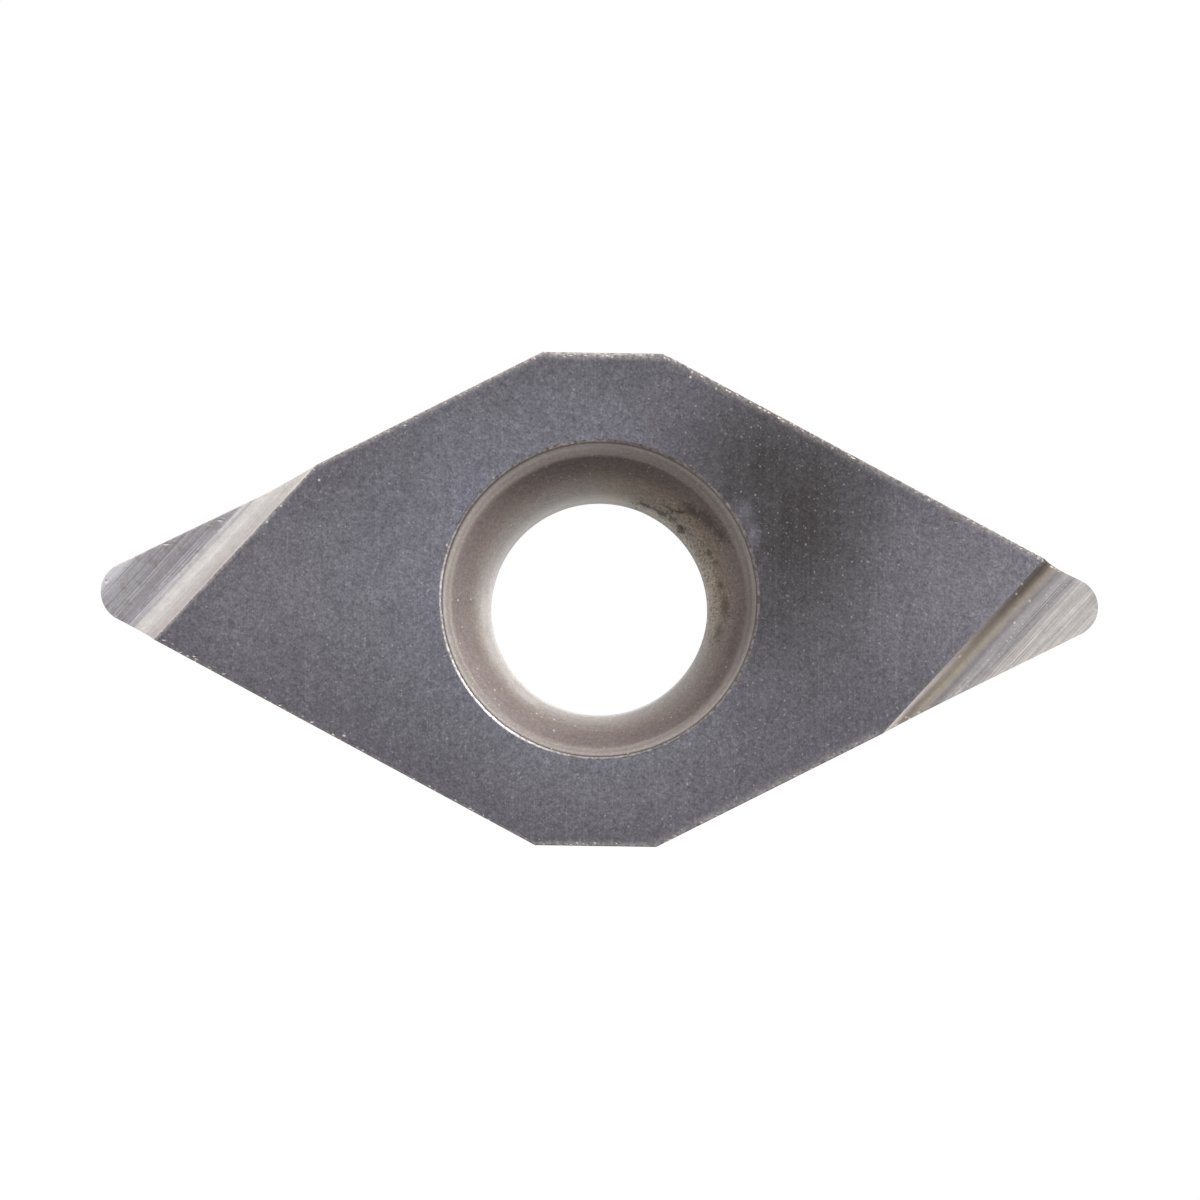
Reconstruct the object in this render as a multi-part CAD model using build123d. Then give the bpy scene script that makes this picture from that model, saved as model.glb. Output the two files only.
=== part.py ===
# Indexable carbide turning insert: a 55 degree rhombus with both obtuse corners ground flat,
# a countersunk screw hole with a rounded seat, and one slanted chip breaker across each nose.
# Millimetres and degrees. The origin is on the hole's axis in the seating face, +Z points out of
# the countersink, and +X runs along the long diagonal.
from build123d import *
from math import cos, radians, sin, sqrt, tan
import os

# Plan form, measured at the top face.
inscribed_circle = 6.35  # across opposite cutting sides, and across the ground-off corners
nose_angle = 55.0
nose_radius = 0.4
thickness = 2.38
clearance_angle = 7.0  # the flanks lean in below the top edge

# Screw hole, from the seating face up to the mouth.
exit_chamfer = 0.1
bore_diameter = 2.8
bore_length = 0.7  # the straight wall between the exit chamfer and the seat
seat_width = 0.485  # how far the rounded seat flares out from the bore, on the radius
cone_depth = 0.4  # the steeper cone between the seat and the mouth
cone_angle = 44.0  # included
mouth_break = 0.03  # fine edge break at the top face

# Chip breaker, one on each nose, ground by a wheel with a rounded corner.
breaker_angle = 20.6  # between the groove and the main cutting edge, in plan
breaker_run_out = 3.63  # from the unrounded corner along the main cutting edge
rake_angle = 13.0
nose_drop = 0.03  # the nose's highest point, below the top face
wheel_corner_radius = 0.32
wheel_clearance = 1.0  # how far the wheel's body stands out past the insert

half_nose = nose_angle / 2
side_distance = inscribed_circle / 2
corner_reach = side_distance / sin(radians(half_nose))  # hole axis to the unrounded corner
nose_to_centre = nose_radius / sin(radians(half_nose))  # unrounded corner to the nose's centre


def sharp_blank() -> Part:
    """The rhombus with its waist ground flat, and every flank drafted in below the top face."""
    waist_reach = side_distance / cos(radians(half_nose))
    rhombus = Polygon(
        (corner_reach, 0), (0, waist_reach), (-corner_reach, 0), (0, -waist_reach)
    )
    plan = rhombus & Rectangle(2 * corner_reach, inscribed_circle)
    straight = extrude(plan, amount=thickness)
    flanks = straight.faces().filter_by(Axis.Z, reverse=True)
    return draft(flanks, Plane.XY.offset(thickness), -clearance_angle)


def nose_waste() -> Part:
    """What rounding grinds off the -X nose: its sharp corner, outside a cone tangent to both flanks.

    The flanks' lean brings the cone to a point nose_radius / tan(clearance_angle) below the top.
    """
    corner = Vector(-nose_to_centre, 0)
    touch = Vector(0, nose_radius).rotate(Axis.Z, half_nose)
    other_touch = Vector(touch.X, -touch.Y)
    sector = Polygon((0, 0), 2 * touch, 2 * corner, 2 * other_touch)
    cone_height = nose_radius / tan(radians(clearance_angle))
    cone = Cone(0, nose_radius, cone_height, align=(Align.CENTER, Align.CENTER, Align.MAX))
    waste = extrude(sector, amount=thickness) - Pos(0, 0, thickness) * cone
    return Pos(nose_to_centre - corner_reach, 0, 0) * waste


def screw_hole() -> Part:
    """The space of the hole: exit chamfer, bore, rounded seat, cone and mouth, turned about +Z."""
    bore_radius = bore_diameter / 2
    seat_radius = bore_radius + seat_width
    cone_top_radius = seat_radius + cone_depth * tan(radians(cone_angle / 2))
    cone_top = thickness - mouth_break
    bore_top = exit_chamfer + bore_length
    profile = [
        Line((0, 0), (bore_radius + exit_chamfer, 0)),
        Line((bore_radius + exit_chamfer, 0), (bore_radius, exit_chamfer)),
        Line((bore_radius, exit_chamfer), (bore_radius, bore_top)),
        TangentArc((bore_radius, bore_top), (seat_radius, cone_top - cone_depth), tangent=(0, 1)),
        Line((seat_radius, cone_top - cone_depth), (cone_top_radius, cone_top)),
        Line((cone_top_radius, cone_top), (cone_top_radius + mouth_break, thickness)),
        Line((cone_top_radius + mouth_break, thickness), (0, thickness)),
        Line((0, thickness), (0, 0)),
    ]
    section = make_face(Plane.XZ * Curve(children=profile))
    return revolve(section, Axis.Z)


def wheel_section(nose_reach: float) -> Curve:
    """The wheel's outline in the groove: a hollow wall that runs into a rising rake face.

    x runs square to the groove towards the nose, which it meets at nose_reach, and y is up from
    the top face. The wheel's rounded corner leaves the top face at the origin and is tangent to
    the rake face.
    """
    uphill = Vector(1, 0).rotate(Axis.Z, rake_angle)
    off_rake = Vector(0, 1).rotate(Axis.Z, rake_angle)
    nose = Vector(nose_reach, -nose_drop)
    centre_off_rake = wheel_corner_radius + nose.dot(off_rake)
    centre_uphill = sqrt(wheel_corner_radius**2 - centre_off_rake**2)
    centre = uphill * centre_uphill + off_rake * centre_off_rake
    deepest = centre - Vector(0, wheel_corner_radius)
    rake_start = centre - off_rake * wheel_corner_radius
    rake_end = nose + uphill * wheel_clearance
    above = Vector(0, rake_end.Y + wheel_clearance)
    profile = [
        Line(above, (0, 0)),
        ThreePointArc((0, 0), deepest, rake_start),
        Line(rake_start, rake_end),
        Line(rake_end, (rake_end.X, above.Y)),
        Line((rake_end.X, above.Y), above),
    ]
    return Curve(children=profile)


def chip_breaker() -> Part:
    """The space that the wheel sweeps out across the nose on the -X side."""
    groove_direction = half_nose + breaker_angle
    along_groove = Vector(1, 0).rotate(Axis.Z, groove_direction)
    towards_nose = Vector(0, 1).rotate(Axis.Z, groove_direction)
    corner = Vector(-corner_reach, 0)
    run_out = corner + Vector(breaker_run_out, 0).rotate(Axis.Z, half_nose)
    nose_centre = corner + Vector(nose_to_centre, 0)
    nose_reach = (nose_centre - run_out).dot(towards_nose) + nose_radius
    section_plane = Plane(
        origin=run_out + Vector(0, 0, thickness), x_dir=towards_nose, z_dir=along_groove
    )
    section = make_face(section_plane * wheel_section(nose_reach))
    return extrude(section, amount=breaker_run_out + wheel_clearance, both=True)


def insert() -> Part:
    """Both noses are ground alike, half a turn apart about the hole."""
    nose_cuts = nose_waste() + chip_breaker()
    return sharp_blank() - screw_hole() - nose_cuts - Rot(0, 0, 180) * nose_cuts


os.makedirs("parts", exist_ok=True)
body = insert()
body.label = "insert"
export_step(body, "parts/insert.step")
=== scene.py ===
# A cemented carbide turning insert lying on a plain white table.
# The dictionaries are in millimetres and degrees, the meshes in metres.
import bpy
import math
import numpy as np
from mathutils import Matrix


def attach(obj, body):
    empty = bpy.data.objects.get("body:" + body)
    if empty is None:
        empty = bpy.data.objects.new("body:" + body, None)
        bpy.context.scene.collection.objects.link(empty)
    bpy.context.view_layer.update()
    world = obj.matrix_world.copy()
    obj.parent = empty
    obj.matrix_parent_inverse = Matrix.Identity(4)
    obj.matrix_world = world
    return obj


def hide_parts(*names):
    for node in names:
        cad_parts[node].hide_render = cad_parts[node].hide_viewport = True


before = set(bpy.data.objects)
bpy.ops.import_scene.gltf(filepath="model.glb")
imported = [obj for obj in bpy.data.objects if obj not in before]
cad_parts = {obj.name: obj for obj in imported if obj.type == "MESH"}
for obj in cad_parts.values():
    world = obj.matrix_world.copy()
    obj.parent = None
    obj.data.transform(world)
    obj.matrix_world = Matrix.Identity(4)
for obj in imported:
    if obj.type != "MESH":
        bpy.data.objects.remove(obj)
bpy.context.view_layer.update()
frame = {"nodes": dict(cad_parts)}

mm = 0.001
print("frame loaded:", ", ".join(frame["nodes"]))


# The insert's form

insertForm = {
    "inscribedCircle": 6.35,       # across opposite cutting sides, and across the ground-off corners
    "noseAngle": 55.0,
    "noseRadius": 0.4,
    "thickness": 2.38,
    "clearance": 7.0,              # the flanks lean in below the top edge
    "exitRadius": 1.5,             # the hole at the seating face
    "exitChamfer": 0.1,
    "boreRadius": 1.4,
    "boreTop": 0.8,
    "seatRadius": 1.885,           # the rounded seat ends here, at seatTop
    "seatTop": 1.95,
    "creaseRound": (0.022, 0.9),   # the crease above the seat is rounded: back along the arc in radians, and
                                   # up to this share of the way down from the cone's top
    "rim": [(2.008, 2.28), (2.021, 2.325), (2.031, 2.348), (2.064, 2.38)],
    "rimWander": 0.003,            # how unevenly the rim's fine chamfer was ground
    "footBreak": 0.02,             # edge break round the seating face
}

# The edge, side by side from the +X nose round by +Y: width of the edge break, how bright the edge is
# rubbed, and how far in from the outline.
edgeForm = {
    "sides": {"plusNose": (0.008, 0.0, 0.06), "upperRight": (0.008, 0.35, 0.108),
              "topFlat": (0.034, 0.67, 0.114), "upperLeft": (0.020, 0.40, 0.082),
              "minusNose": (0.008, 0.0, 0.06), "lowerLeft": (0.009, 0.26, 0.028),
              "bottomFlat": (0.013, 0.30, 0.088), "lowerRight": (0.013, 0.26, 0.125)},
    "slope": 0.28,                 # the break's depth for each millimetre of width
    "noseShare": 0.4,              # in the chip breakers the cutting edges keep this share of the first two
    "blend": 40,                   # columns over which one side's values run into the next
}

breakerForm = {
    "angle": 20.6,                 # between the groove and the main cutting edge
    "runOut": 3.63,                # from the unrounded corner along the main cutting edge
    "rake": 13.0,
    "noseDrop": 0.03,
    "wheelCorner": 0.32,
}

# Columns run out from the hole to the outline, rows lie round the hole.
insertMesh = {
    "noseColumns": 28,             # in each half of a nose
    "sideColumns": 408,
    "flatColumns": 104,
    "seatRows": 9,
    "topRows": (0.03, 0.25, 0.5, 0.75, 1.0),
    "wallRows": 8,
    "rakeRows": (0.25, 0.5, 0.75, 1.0),
    "creaseRows": 3,
    "edgeRows": (0.130, 0.100, 0.075, 0.054, 0.038, 0.025, 0.015, 0.007, 0.0),
    "flankRows": (0.33, 0.66, 1.0),
}

halfNose = math.radians(insertForm["noseAngle"] / 2)
lean = math.tan(math.radians(insertForm["clearance"]))
halfWidth = insertForm["inscribedCircle"] / 2
cornerReach = halfWidth / math.sin(halfNose)
noseCentre = cornerReach - insertForm["noseRadius"] / math.sin(halfNose)
sideNormal = np.array([math.sin(halfNose), math.cos(halfNose)])
topHeight = insertForm["thickness"]

grooveAngle = halfNose + math.radians(breakerForm["angle"])
towardsNose = np.array([-math.sin(grooveAngle), math.cos(grooveAngle)])
runOutPoint = np.array([breakerForm["runOut"] * math.cos(halfNose) - cornerReach,
                        breakerForm["runOut"] * math.sin(halfNose)])
grooveDistance = float(runOutPoint @ towardsNose)
noseReach = float(np.array([-noseCentre, 0]) @ towardsNose) + insertForm["noseRadius"] - grooveDistance

# Section of the groove, x from its wall's top line towards the nose, y up from the top face:
# the wheel's corner is a circle through (0, 0), tangent to the rake line through (noseReach, -noseDrop).
rake = math.radians(breakerForm["rake"])
uphill = np.array([math.cos(rake), math.sin(rake)])
offRake = np.array([-math.sin(rake), math.cos(rake)])
cornerOff = breakerForm["wheelCorner"] + float(np.array([noseReach, -breakerForm["noseDrop"]]) @ offRake)
cornerAlong = math.sqrt(breakerForm["wheelCorner"] ** 2 - cornerOff ** 2)
wheelCentre = uphill * cornerAlong + offRake * cornerOff
rakeStart = wheelCentre - offRake * breakerForm["wheelCorner"]


# Depth of both chip breakers at plan points: with w = |p . t| - distance, 0 where w < 0,
# then cy - sqrt(r^2 - (w - cx)^2) down to the rake line, then sy + (w - sx) tan(rake).
def breakerDepth(plan):
    w = np.abs(plan @ towardsNose) - grooveDistance
    r = breakerForm["wheelCorner"]
    wall = wheelCentre[1] - np.sqrt(np.maximum(r * r - (w - wheelCentre[0]) ** 2, 0))
    face = rakeStart[1] + (w - rakeStart[0]) * math.tan(rake)
    return np.where(w < 0, 0, np.where(w < rakeStart[0], wall, face)), w


# Half of the outline at the top face, from the +X nose's tip to the -X nose's tip; the other half is
# its negative. A nose is C + r n(a), a side is A + (B - A) t. inward says how far a point moves for
# each millimetre that the outline shrinks: n on a nose, and (n1 + n2) / (1 + n1 . n2) at a corner.
def outline(form, columns):
    r = form["noseRadius"]
    flat = np.array([0.0, 1.0])
    corner = (sideNormal + flat) / (1 + sideNormal @ flat)
    waist = np.array([(halfWidth - halfWidth * sideNormal[1]) / sideNormal[0], halfWidth])
    touch = np.array([noseCentre, 0]) + r * sideNormal
    mirror = np.array([-1.0, 1.0])
    arc = np.linspace(0, math.pi / 2 - halfNose, columns["noseColumns"], endpoint=False)[:, None]
    side = np.linspace(0, 1, columns["sideColumns"], endpoint=False)[:, None]
    top = np.linspace(0, 1, columns["flatColumns"], endpoint=False)[:, None]
    turn = np.hstack([np.cos(arc), np.sin(arc)])
    backArc = arc + math.pi / 2 + halfNose
    backTurn = np.hstack([np.cos(backArc), np.sin(backArc)])
    parts = [
        (np.array([noseCentre, 0]) + r * turn, turn, turn),
        (touch + (waist - touch) * side, sideNormal + (corner - sideNormal) * side, sideNormal + 0 * side),
        (waist + (waist * mirror - waist) * top, corner + (corner * mirror - corner) * top, flat + 0 * top),
        ((waist + (touch - waist) * side) * mirror, (corner + (sideNormal - corner) * side) * mirror,
         sideNormal * mirror + 0 * side),
        (np.array([-noseCentre, 0]) + r * backTurn, backTurn, backTurn),
    ]
    point, inward, normal = (np.vstack([part[k] for part in parts]) for k in range(3))
    point, inward, normal = (np.vstack([a, -a]) for a in (point, inward, normal))
    step = np.linalg.norm(np.roll(point, -1, axis=0) - point, axis=1)
    run = np.concatenate([[0], np.cumsum(step)[:-1]])
    return point, inward, normal, run, float(step.sum())


# Chips along the edge. Those that the insert was seen with are listed, as (x, y, length along
# the edge, width across it), the rest are strewn with their middle a little inside the outline.
edgeChips = {
    "seen": [(-0.874, 3.092, 0.040, 0.036), (-0.502, 3.150, 0.045, 0.026), (-0.412, 3.138, 0.055, 0.032),
             (-0.361, 3.152, 0.040, 0.024), (0.005, 3.145, 0.055, 0.034), (0.055, 3.143, 0.070, 0.044),
             (0.115, 3.127, 0.045, 0.034), (0.204, 3.161, 0.045, 0.024), (0.487, 3.152, 0.055, 0.032),
             (0.641, 3.154, 0.040, 0.024), (0.783, 3.131, 0.055, 0.038), (0.848, 3.103, 0.055, 0.036),
             (1.275, 2.893, 0.060, 0.034), (1.457, 2.740, 0.040, 0.034), (1.599, 2.718, 0.060, 0.036),
             (1.640, 2.697, 0.050, 0.036), (1.741, 2.656, 0.060, 0.028), (1.909, 2.568, 0.060, 0.030),
             (2.030, 2.500, 0.085, 0.034), (2.090, 2.470, 0.070, 0.036), (2.155, 2.436, 0.060, 0.036),
             (2.285, 2.368, 0.075, 0.040), (2.337, 2.330, 0.050, 0.034), (2.479, 2.280, 0.060, 0.026),
             (3.191, 1.905, 0.060, 0.026), (3.256, 1.860, 0.070, 0.040), (4.161, 1.404, 0.055, 0.020),
             (4.924, 1.004, 0.060, 0.024), (5.442, 0.720, 0.050, 0.030), (5.661, 0.616, 0.055, 0.026),
             (-5.643, -0.575, 0.060, 0.044), (-5.396, -0.751, 0.050, 0.030), (-5.254, -0.785, 0.050, 0.036),
             (-5.208, -0.825, 0.055, 0.036), (-4.852, -1.005, 0.060, 0.034), (-4.101, -1.412, 0.055, 0.032),
             (-3.674, -1.624, 0.050, 0.030), (-3.287, -1.785, 0.055, 0.034), (-4.962, 0.940, 0.050, 0.034),
             (-5.624, 0.615, 0.075, 0.034), (-6.345, 0.123, 0.045, 0.036)],
    "depthShare": 0.3,             # of the width
    "sizeShare": 0.8,              # of the sizes seen, which include their glow
    "strewn": 190,
    "strewnLength": (0.018, 0.050),
    "strewnWidth": (0.008, 0.022),
    "strewnInset": (0.004, 0.060),
}


# Chips as rows of (place along the outline, inset of the middle, length, width).
def chipTable(chips, point, normal, run, total):
    seen = np.array(chips["seen"])
    away = seen[:, None, :2] - point[None, :, :]
    nearest = np.linalg.norm(away, axis=2).argmin(axis=1)
    inset = -np.einsum("ij,ij->i", away[np.arange(len(seen)), nearest], normal[nearest])
    seen = np.column_stack([run[nearest], inset, seen[:, 2:] * chips["sizeShare"]])
    dice = np.random.default_rng(11)
    count = chips["strewn"]
    strewn = np.column_stack([dice.uniform(0, total, count)] + [
        low + (high - low) * dice.beta(1.3, 2.4, count)
        for low, high in (chips["strewnInset"], chips["strewnLength"], chips["strewnWidth"])])
    return np.vstack([seen, strewn])


# The edge's values for every column: each side's own, run together over a few columns by a raised
# cosine.
def sideValues(form, mesh):
    counts = {"Nose": 2 * mesh["noseColumns"], "Flat": mesh["flatColumns"]}
    values = np.vstack([np.tile(own, (counts.get(name[-4:], mesh["sideColumns"]), 1))
                        for name, own in form["sides"].items()])
    values = np.roll(values, -mesh["noseColumns"], axis=0)
    soft = np.hanning(form["blend"] + 2)
    reach = len(values)
    return [np.convolve(np.tile(column, 3), soft / soft.sum(), "same")[reach:2 * reach] for column in values.T]


# How far the edge has dropped at the inset e from the outline: the break is slope * width * (1 - e /
# width)^2, a chip is depth * g with g = 1 - (2 ds / length)^2 - (2 (e - middle) / width)^2. The rubbing
# is share * (1 - e / reach)^1.5.
def edgeDrop(inset, width, share, reach, table, run, total):
    away = np.abs((run[None, :] - table[:, :1] + total / 2) % total - total / 2)
    across = inset - table[:, 1:2]
    g = np.clip(1 - (2 * away / table[:, 2:3]) ** 2 - (2 * across / table[:, 3:4]) ** 2, 0, 1)
    pit = (edgeChips["depthShare"] * table[:, 3:4] * g).max(axis=0)
    broken = edgeForm["slope"] * width * np.clip(1 - inset / width, 0, 1) ** 2
    rubbed = share * np.clip(1 - inset / reach, 0, 1) ** 1.5
    return pit + broken, rubbed, g.max(axis=0)


# The whole skin as one closed grid: up the hole, out over the top face and the chip breakers, down the
# flanks and back under. A column is the straight plan line H + t (E - H) from the rim to the outline.
def insertSkin(form, mesh):
    point, inward, normal, run, total = outline(form, mesh)
    table = chipTable(edgeChips, point, normal, run, total)
    turn = point / np.linalg.norm(point, axis=1)[:, None]
    bearing = np.arctan2(turn[:, 1], turn[:, 0])
    rows, bands, rubbing, chipping = [], [], [], []

    def addRow(plan, height, band, rubbed=0.0, chip=0.0):
        rows.append(np.column_stack([plan, np.broadcast_to(height, len(plan))]))
        bands.append(band)
        rubbing.append(np.broadcast_to(rubbed, len(plan)))
        chipping.append(np.broadcast_to(chip, len(plan)))

    # hole: (rc - R cos a, z0 + R sin a) for the seat, then a short quadratic curve over the crease from
    # the arc to the cone, (1 - t)^2 A + 2 t (1 - t) C + t^2 B, the rest straight
    addRow(turn * form["exitRadius"], 0.0, "hole")
    addRow(turn * form["boreRadius"], form["exitChamfer"], "hole")
    flare, rise = form["seatRadius"] - form["boreRadius"], form["seatTop"] - form["boreTop"]
    arcRadius = (flare ** 2 + rise ** 2) / (2 * flare)
    for a in np.linspace(0, math.asin(rise / arcRadius) - form["creaseRound"][0], mesh["seatRows"]):
        below = np.array([form["boreRadius"] + arcRadius * (1 - math.cos(a)),
                          form["boreTop"] + arcRadius * math.sin(a)])
        addRow(turn * below[0], below[1], "hole")
    crease, coneTop = np.array([form["seatRadius"], form["seatTop"]]), np.array(form["rim"][0])
    above = coneTop + (crease - coneTop) * form["creaseRound"][1]
    for t in np.linspace(0, 1, mesh["creaseRows"] + 1)[1:]:
        bent = (1 - t) ** 2 * below + 2 * t * (1 - t) * crease + t ** 2 * above
        addRow(turn * bent[0], bent[1], "hole")
    dice = np.random.default_rng(5)
    wander = sum(form["rimWander"] / (1 + k / 9) * np.sin(k * bearing + dice.uniform(0, 2 * math.pi))
                 for k in (3, 7, 12, 19, 31, 47, 70, 103)) / 2
    for k, (radius, height) in enumerate(form["rim"]):
        addRow(turn * (radius + wander * (k == 3))[:, None] if k == 3 else turn * radius, height,
               "hole" if k < 2 else "rim")

    # top: the crossing t0 is where w = 0, kept off the edge band
    start = rows[-1][:, :2]
    kept = np.where(np.abs(point @ towardsNose) > grooveDistance, edgeForm["noseShare"], 1.0)
    width, share, reach = sideValues(edgeForm, mesh)
    edgeValues = (width * kept, share * kept, reach, table, run, total)
    ringDrop, ringRubbed, ringChip = edgeDrop(0.0, *edgeValues)
    edgeHeight = np.full(len(point), topHeight)
    for k in range(6):
        edge = point - inward * ((topHeight - edgeHeight) * lean)[:, None]
        edgeHeight = topHeight + breakerDepth(edge)[0] - ringDrop
    span = edge - start
    length = np.linalg.norm(span, axis=1)
    insetRate = np.einsum("ij,ij->i", span, normal)
    band = 1 - mesh["edgeRows"][0] / insetRate
    reachEdge = np.abs(edge @ towardsNose) - grooveDistance
    sign = np.sign(edge @ towardsNose)
    across0, across1 = sign * (start @ towardsNose), sign * (edge @ towardsNose)
    crossing = np.where(reachEdge > 0, (grooveDistance - across0) / (across1 - across0), 2.0)
    spare = 0.02 / length + np.clip(-reachEdge, 0, 1.2) / 1.2 * 0.5
    first = np.minimum(crossing, band - spare)
    reachBand = across0 + (across1 - across0) * band - grooveDistance
    wallShare = np.where(reachBand > rakeStart[0] / 0.7, rakeStart[0] / np.maximum(reachBand, 0.1), 0.7)
    wallEnd = first + (band - first) * wallShare
    wallTop = math.asin(wheelCentre[0] / breakerForm["wheelCorner"])
    wallStep = np.linspace(wallTop, -rake, mesh["wallRows"] + 1)[1:]
    wallPlace = (wheelCentre[0] - breakerForm["wheelCorner"] * np.sin(wallStep)) / rakeStart[0]
    ways = [first * k for k in mesh["topRows"]]
    ways += [first + (wallEnd - first) * k for k in wallPlace]
    ways += [wallEnd + (band - wallEnd) * k for k in mesh["rakeRows"]]
    # where the groove's top line runs through the edge band, the row nearest to it lies on it
    bandWays = 1 - np.array(mesh["edgeRows"][1:-1])[:, None] / insetRate
    nearest = np.abs(bandWays - crossing).argmin(axis=0)
    column = np.flatnonzero((crossing > band + 0.004 / insetRate) & (crossing < 1 - 0.002 / insetRate))
    bandWays[nearest[column], column] = crossing[column]
    ways += list(bandWays)
    for k, way in enumerate(ways):
        plan = start + span * way[:, None]
        inset = (1 - way) * insetRate
        onEdge = k >= len(ways) - len(mesh["edgeRows"]) + 1
        drop, rubbed, chip = 0.0, 0.0, 0.0
        if onEdge:
            drop, rubbed, chip = edgeDrop(inset, *edgeValues)
        addRow(plan, topHeight + breakerDepth(plan)[0] - drop, "edge" if onEdge else "top", rubbed, chip)
    addRow(edge, edgeHeight, "edge", ringRubbed, ringChip)

    # flanks: P - m (T - z) tan(clearance), then the foot's edge break and the seating face
    for k in mesh["flankRows"]:
        below = edgeHeight - 0.03
        height = below + (form["footBreak"] - below) * (k - mesh["flankRows"][0]) / (1 - mesh["flankRows"][0])
        addRow(point - inward * ((topHeight - height) * lean)[:, None], height, "flank")
    foot = point - inward * (topHeight * lean + form["footBreak"])
    addRow(foot, 0.0, "flank")
    addRow(foot + (turn * form["exitRadius"] - foot) * 0.5, 0.0, "seat")
    return np.array(rows) * mm, bands, np.array(rubbing), np.array(chipping)


finishOrder = ["lapped", "breaker", "hole", "rim", "flank", "seat"]


# Quads (i, j), (i+1, j), (i+1, j+1), (i, j+1) of the closed grid, each with its finish, and how rubbed
# and how chipped each point is.
def skinMesh(name, grid, bands, rubbing, chipping):
    rows, columns = grid.shape[:2]
    i, j = np.meshgrid(np.arange(rows), np.arange(columns), indexing="ij")
    i2, j2 = (i + 1) % rows, (j + 1) % columns
    corners = np.stack([i * columns + j, i2 * columns + j, i2 * columns + j2, i * columns + j2], axis=-1)
    middle = (grid[i, j] + grid[i2, j] + grid[i2, j2] + grid[i, j2])[..., :2] / (4 * mm)
    inGroove = breakerDepth(middle.reshape(-1, 2))[1].reshape(rows, columns) > 0
    finish = np.zeros((rows, columns), dtype=np.int32)
    for row in range(rows):
        here, after = bands[row], bands[(row + 1) % rows]
        if here in ("top", "edge") and after in ("top", "edge") or here == "rim" and after == "top":
            finish[row] = np.where(inGroove[row], finishOrder.index("breaker"), finishOrder.index("lapped"))
        else:
            finish[row] = finishOrder.index(here if here in ("hole", "rim", "seat") else after)
    mesh = bpy.data.meshes.new(name)
    mesh.vertices.add(rows * columns)
    mesh.vertices.foreach_set("co", grid.reshape(-1).astype(np.float32))
    mesh.loops.add(corners.size)
    mesh.loops.foreach_set("vertex_index", corners.reshape(-1).astype(np.int32))
    mesh.polygons.add(rows * columns)
    mesh.polygons.foreach_set("loop_start", np.arange(0, corners.size, 4, dtype=np.int32))
    mesh.polygons.foreach_set("material_index", finish.reshape(-1))
    mesh.polygons.foreach_set("use_smooth", np.ones(rows * columns, dtype=bool))
    mesh.update(calc_edges=True)
    mesh.validate()
    mesh.set_sharp_from_angle(angle=math.radians(20))
    for key, values in (("rubbed", rubbing), ("chip", chipping)):
        mesh.attributes.new(key, "FLOAT", "POINT").data.foreach_set("value", values.reshape(-1).astype(np.float32))
    return mesh


grid, bands, rubbing, chipping = insertSkin(insertForm, insertMesh)
insertPiece = bpy.data.objects.new("insertBody", skinMesh("insertBody", grid, bands, rubbing, chipping))
bpy.context.scene.collection.objects.link(insertPiece)
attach(insertPiece, "root")
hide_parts("insert")
print("insert skin:", grid.shape[0], "rows,", grid.shape[1], "columns,",
      grid.shape[0] * grid.shape[1] * 2, "triangles")


# Finishes

# sRGB hex to the linear colour that the shaders take.
def hexColour(text):
    values = np.array([int(text[k:k + 2], 16) / 255 for k in (1, 3, 5)])
    linear = np.where(values <= 0.04045, values / 12.92, ((values + 0.055) / 1.055) ** 2.4)
    return (*linear.tolist(), 1.0)


# Adds one node: its settings, then its sockets' values or links.
def addNode(tree, kind, settings=None, sockets=None):
    node = tree.nodes.new(kind)
    for name, value in (settings or {}).items():
        setattr(node, name, value)
    for name, value in (sockets or {}).items():
        if isinstance(value, bpy.types.NodeSocket):
            tree.links.new(value, node.inputs[name])
        else:
            node.inputs[name].default_value = value
    return node


# Settings that many nodes share. Map Range takes its value on 0, from 1 and 2, to 3 and 4; a colour
# Mix takes its factor on 0 and its colours on 6 and 7, and gives socket 2.
times = {"operation": "MULTIPLY"}
timesPlus = {"operation": "MULTIPLY_ADD"}
smooth = {"interpolation_type": "SMOOTHSTEP"}
mixed = {"data_type": "RGBA"}
tinted = {"data_type": "RGBA", "blend_type": "MULTIPLY"}


# Stops of a ramp as (position, hex) pairs, on a scale that starts at base and is reach long.
def fillRamp(node, stops, base, reach):
    ramp = node.color_ramp
    while len(ramp.elements) < len(stops):
        ramp.elements.new(0.5)
    for element, (position, colour) in zip(ramp.elements, stops):
        element.position = (position - base) / reach
        element.color = hexColour(colour)
    return node.outputs["Color"]


def newMaterial(name, preview):
    material = bpy.data.materials.new(name)
    material.use_nodes = True
    material.node_tree.nodes.clear()
    material.diffuse_color = hexColour(preview)
    return material, material.node_tree


# The object's coordinates, and the same turned by odd angles so that no noise lines up with a face.
def placeOf(tree):
    place = addNode(tree, "ShaderNodeTexCoord").outputs["Object"]
    turned = addNode(tree, "ShaderNodeVectorRotate", {"rotation_type": "EULER_XYZ"},
                     {"Vector": place, "Rotation": (0.5, 0.35, 0.6)})
    return place, turned.outputs["Vector"]


# Noise of a grain size in mm, as a factor from 1 - swing to 1 + swing.
def grain(tree, place, size, swing, detail=1.0):
    noise = addNode(tree, "ShaderNodeTexNoise", None,
                    {"Vector": place, "Scale": 1 / (size * mm), "Detail": detail, "Roughness": 0.6})
    return addNode(tree, "ShaderNodeMapRange", {"clamp": False},
                   {0: noise.outputs["Fac"], 1: 0.3, 2: 0.7, 3: 1 - swing, 4: 1 + swing}).outputs[0]


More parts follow.
